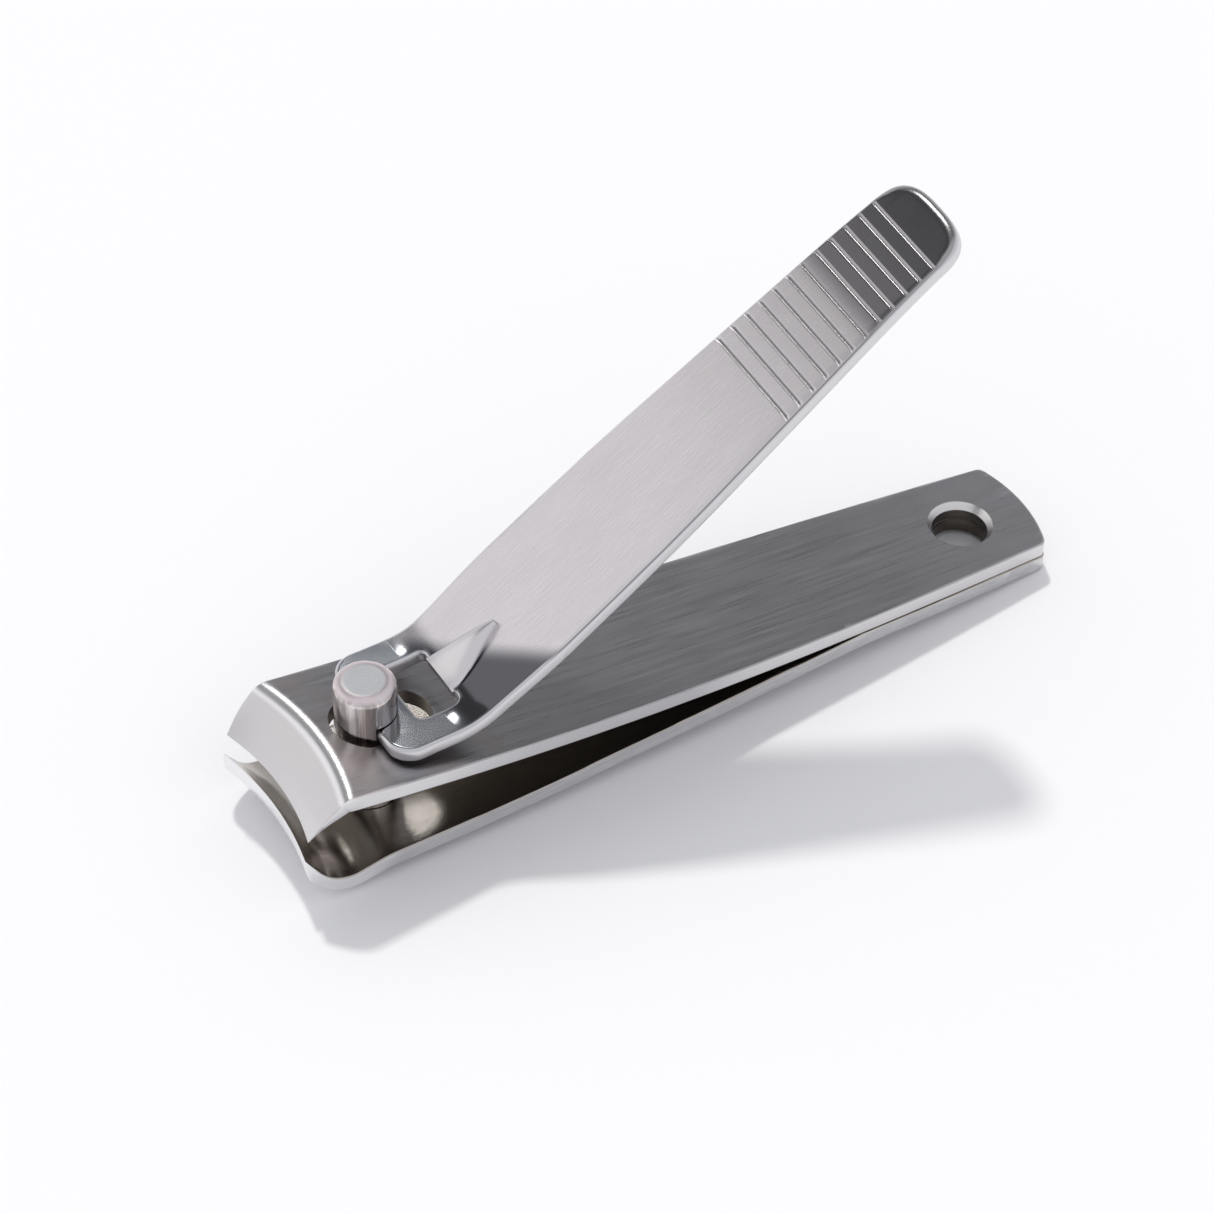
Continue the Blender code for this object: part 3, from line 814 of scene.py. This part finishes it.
def lever_steel():
    """Plated strip: polished bend and crossbar, a dark free end and a dark bend that are painted reflection,
    the polished part graded near to far by painted reflection, grooves drawn in painted shade and highlight,
    a painted highlight round the end's edge, a lighter sheared edge and painted shade underneath.
    """
    steel = Steel("lever_steel")
    sheet = steel.attribute("sheet")
    distance, across, depth = (steel.part(sheet, axis) for axis in range(3))
    total = total_length(LEVER_BENDS)
    fine = steel.noise(steel.scaled(sheet, (0.5, 10.0, 3.0)), 5.0)
    cloud = steel.noise(steel.scaled(sheet, (0.12, 0.5, 0.5)), 2.0)
    rear = CROSSBAR_WIDTH + WINDOW_LENGTH
    is_side = steel.ramp(depth, -0.12, -0.17)
    under_shade = steel.ramp(depth, -1.0, -1.12)
    beside = steel.math("ABSOLUTE", across)
    wall = steel.both(
        steel.ramp(distance, rear - 0.4, rear - 0.2), steel.ramp(distance, rear + 0.14, rear + 0.06)
    )
    wall = steel.both(wall, steel.ramp(beside, WINDOW_HALF_WIDTH - 0.1, WINDOW_HALF_WIDTH - 0.3))
    is_rib = steel.math("MAXIMUM", steel.ramp(depth, 0.06, 0.16), wall)
    skew = steel.math("ADD", distance, steel.math("MULTIPLY", across, 0.8))
    polished = steel.ramp(skew, 9.7, 7.5)
    bend = steel.both(polished, steel.ramp(distance, 4.4, 6.0))
    tip = steel.ramp(distance, total - 10.3, total - 7.7)
    past_cap = steel.math("MAXIMUM", steel.math("SUBTRACT", distance, total - LEVER_END_CAP), 0.0)
    inset = steel.math("DIVIDE", past_cap, LEVER_END_CAP - 0.5)
    aside = steel.math("DIVIDE", beside, lever_half_width(total - 2.0) - 0.25)
    rim = steel.math(
        "ADD", steel.math("POWER", inset, LEVER_END_POWER), steel.math("POWER", aside, LEVER_END_POWER)
    )
    at_end = steel.both(
        steel.ramp(distance, total - 3.0, total - 2.2), steel.math("SUBTRACT", 1.0, is_side)
    )
    rim_highlight = steel.both(steel.ramp(rim, 0.92, 1.12), at_end)
    top = steel.mix(steel.ramp(cloud, 0.3, 0.7), (0.735, 0.705, 0.72), (0.76, 0.73, 0.745))
    # Painted reflection: the top darkens towards the free end.
    top = steel.mix(steel.ramp(distance, 26.0, total - 7.0), top, (0.58, 0.555, 0.565))
    # Polished steel, graded darker towards the near side by painted reflection.
    polished_with_painted_reflection = steel.mix(steel.ramp(across, -4.0, 4.0), (0.365, 0.38, 0.405), (0.48, 0.505, 0.54))
    colour = steel.mix(polished, top, polished_with_painted_reflection)
    # Painted reflection: a dark bend.
    colour = steel.mix(bend, colour, (0.125, 0.125, 0.135))
    # Painted reflection: a dark free end.
    colour = steel.mix(tip, colour, (0.185, 0.18, 0.19))
    # Painted highlight on the rounded edge around the free end.
    colour = steel.mix(rim_highlight, colour, (0.80, 0.78, 0.79))
    # Groove lines: painted shade in the lighter part of the strip, painted highlight in the dark free end and
    # on the polished part.
    shallow = steel.ramp(depth, -0.015, -0.05)
    deep = steel.ramp(depth, -0.06, -0.09)
    groove_shade_and_highlight = steel.mix(steel.math("MAXIMUM", tip, polished), deep, shallow, "FLOAT")
    line = steel.mix(tip, (0.30, 0.295, 0.30), (0.42, 0.41, 0.415))
    line = steel.mix(polished, line, (0.66, 0.66, 0.68))
    colour = steel.mix(groove_shade_and_highlight, colour, line)
    colour = steel.mix(is_side, colour, (0.68, 0.67, 0.68))
    colour = steel.mix(is_rib, colour, (0.75, 0.73, 0.74))
    # Painted shade on the lever's underside.
    colour = steel.mix(under_shade, colour, (0.24, 0.23, 0.22))
    rough = steel.mix(polished, steel.ramp(fine, 0.3, 0.7, 0.26, 0.34), 0.13, "FLOAT")
    rough = steel.mix(tip, rough, 0.2, "FLOAT")
    rough = steel.mix(is_side, rough, 0.34, "FLOAT")
    rough = steel.mix(is_rib, rough, 0.3, "FLOAT")
    return steel.finish(colour, rough, steel.bump(steel.less_where(fine, polished), LEVER_GRAIN))


def pin_steel():
    """Turned end with fine rings and a painted pinkish reflection round its edge, and a shank drawn along its
    length with streaks of painted reflection.
    """
    steel = Steel("pin_steel")
    place = steel.scaled(steel.place(), (1000.0, 1000.0, 1000.0))
    x = steel.math("ADD", steel.part(place, 0), MIDDLE - PIN_AT)
    y = steel.part(place, 1)
    z = steel.part(place, 2)
    radius = steel.radius(x, y)
    ringed = steel.combined(steel.math("MULTIPLY", radius, 7.0))
    drawn = steel.combined(
        steel.math("MULTIPLY", x, 1.7), steel.math("MULTIPLY", y, 1.7), steel.math("MULTIPLY", z, 0.12)
    )
    is_top = steel.ramp(z, PIN_SHOULDER + 0.05, PIN_TOP - 0.1)
    rings = steel.noise(ringed, 3.0)
    lines = steel.noise(drawn, 4.0)
    face = steel.mix(steel.ramp(rings, 0.35, 0.65), (0.46, 0.475, 0.49), (0.55, 0.565, 0.58))
    # Lengthwise streaks on the shank whose light and dark are painted reflection.
    shank = steel.mix(steel.ramp(lines, 0.4, 0.6), (0.34, 0.305, 0.29), (0.74, 0.69, 0.68))
    # Painted pinkish reflection on the rounded edge of the head.
    shoulder_reflection = steel.ramp(radius, PIN_TOP_FLAT_RADIUS, PIN_TOP_FLAT_RADIUS + 0.2)
    face = steel.mix(shoulder_reflection, face, (0.80, 0.72, 0.73))
    colour = steel.mix(is_top, shank, face)
    shank_rough = steel.ramp(lines, 0.3, 0.7, 0.14, 0.24)
    face_rough = steel.ramp(rings, 0.3, 0.7, 0.34, 0.44)
    rough = steel.mix(is_top, shank_rough, face_rough, "FLOAT")
    return steel.finish(colour, rough, steel.bump(steel.mix(is_top, lines, rings, "FLOAT"), PIN_GRAIN))


def floor_paper():
    material = bpy.data.materials.new("floor_paper")
    material.use_nodes = True
    shader = material.node_tree.nodes["Principled BSDF"]
    shader.inputs["Base Color"].default_value = (0.93, 0.93, 0.935, 1.0)
    shader.inputs["Roughness"].default_value = 0.9
    shader.inputs["Specular IOR Level"].default_value = 0.1
    return material


def plane(name, size, material):
    mesh = bpy.data.meshes.new(name)
    corners = [(-size, -size, 0.0), (size, -size, 0.0), (size, size, 0.0), (-size, size, 0.0)]
    mesh.from_pydata(corners, [], [(0, 1, 2, 3)])
    obj = bpy.data.objects.new(name, mesh)
    bpy.context.scene.collection.objects.link(obj)
    mesh.materials.append(material)
    return obj


def flag(name, direction, distance, wide, tall, shade, target):
    """A studio panel seen only in reflections; its long side lies level."""
    material = bpy.data.materials.new(name)
    material.use_nodes = True
    nodes = material.node_tree.nodes
    nodes.clear()
    glow = nodes.new("ShaderNodeEmission")
    glow.inputs["Color"].default_value = (*shade, 1.0)
    out = nodes.new("ShaderNodeOutputMaterial")
    material.node_tree.links.new(glow.outputs[0], out.inputs["Surface"])
    obj = plane(name, 1.0, material)
    way = Vector(direction).normalized()
    level = Vector((0.0, 0.0, 1.0)).cross(way).normalized()
    up = way.cross(level)
    facing = Matrix((level, up, way)).transposed().to_4x4()
    half_size = Matrix.Diagonal((wide / 2, tall / 2, 1.0, 1.0))
    obj.matrix_world = Matrix.Translation(target + way * distance) @ facing @ half_size
    obj.visible_shadow = False
    obj.visible_diffuse = False


def studio(target):
    world = bpy.data.worlds.new("studio")
    bpy.context.scene.world = world
    world.use_nodes = True
    background = world.node_tree.nodes["Background"]
    background.inputs["Color"].default_value = WORLD_COLOUR
    background.inputs["Strength"].default_value = WORLD_STRENGTH
    plane("floor", FLOOR_HALF_SIZE, floor_paper())
    lamp = bpy.data.lights.new("key", "SUN")
    lamp.energy = KEY_ENERGY
    lamp.angle = math.radians(KEY_ANGLE)
    lamp.color = KEY_COLOUR
    key = bpy.data.objects.new("key", lamp)
    bpy.context.scene.collection.objects.link(key)
    key.rotation_euler = Vector(KEY_DIRECTION).normalized().to_track_quat("Z", "Y").to_euler()
    key.visible_glossy = False
    for name, direction, distance, wide, tall, shade in FLAGS:
        flag(name, direction, distance, wide, tall, shade, target)
    bpy.context.scene.view_settings.view_transform = "Standard"


def camera(target):
    data = bpy.data.cameras.new("camera")
    data.lens = CAMERA_LENS
    data.sensor_width = CAMERA_SENSOR
    data.clip_start = 0.01
    obj = bpy.data.objects.new("camera", data)
    bpy.context.scene.collection.objects.link(obj)
    azimuth = math.radians(CAMERA_AZIMUTH)
    elevation = math.radians(CAMERA_ELEVATION)
    forward = Vector((
        math.sin(azimuth) * math.cos(elevation), math.cos(azimuth) * math.cos(elevation), -math.sin(elevation)
    ))
    obj.location = target - forward * CAMERA_DISTANCE
    obj.rotation_euler = (math.pi / 2 - elevation, 0.0, -azimuth)
    bpy.context.scene.camera = obj


def show(obj, node, angle):
    smooth(obj, angle)
    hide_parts(node)


def main():
    upper_length = total_length(UPPER_BENDS)
    lower_length = total_length(LOWER_BENDS)
    upper_look = upper_steel(upper_length)
    lower_look = lower_steel(lower_length)
    upper = arm("upper_visual", UPPER_BENDS, UPPER_REAR_TOP, UPPER_GRIND, UPPER_HOLLOW, upper_look)
    cut(upper, pin_slot())
    cut(upper, hole_bevel())
    lay_out(upper, UPPER_BENDS, (LENGTH, UPPER_REAR_TOP), REAR_PITCH, -1, UPPER_GRIND, UPPER_HOLLOW)
    lower = arm("lower_visual", LOWER_BENDS, LOWER_REAR_TOP, LOWER_GRIND, LOWER_HOLLOW, lower_look)
    cut(lower, pin_hole())
    lay_out(lower, LOWER_BENDS, (LENGTH, LOWER_REAR_TOP), REAR_PITCH, -1, LOWER_GRIND, LOWER_HOLLOW)
    pin = pivot_pin(pin_steel())
    lever = thumb_lever(lever_steel())
    lay_out(lever, LEVER_BENDS, (LEVER_FRONT_AT, LEVER_TOP), 0.0, 1)
    show(upper, "upper_arm", 30)
    show(lower, "lower_arm", 30)
    show(pin, "pivot_pin", 35)
    show(lever, "thumb_lever", 25)
    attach(lower, "lower")
    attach(pin, "pin")
    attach(lever, "lever")
    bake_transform(upper)
    target = Vector(((TARGET_AT - MIDDLE) * MM, 0.0, TARGET_HEIGHT * MM))
    studio(target)
    camera(target)


main()
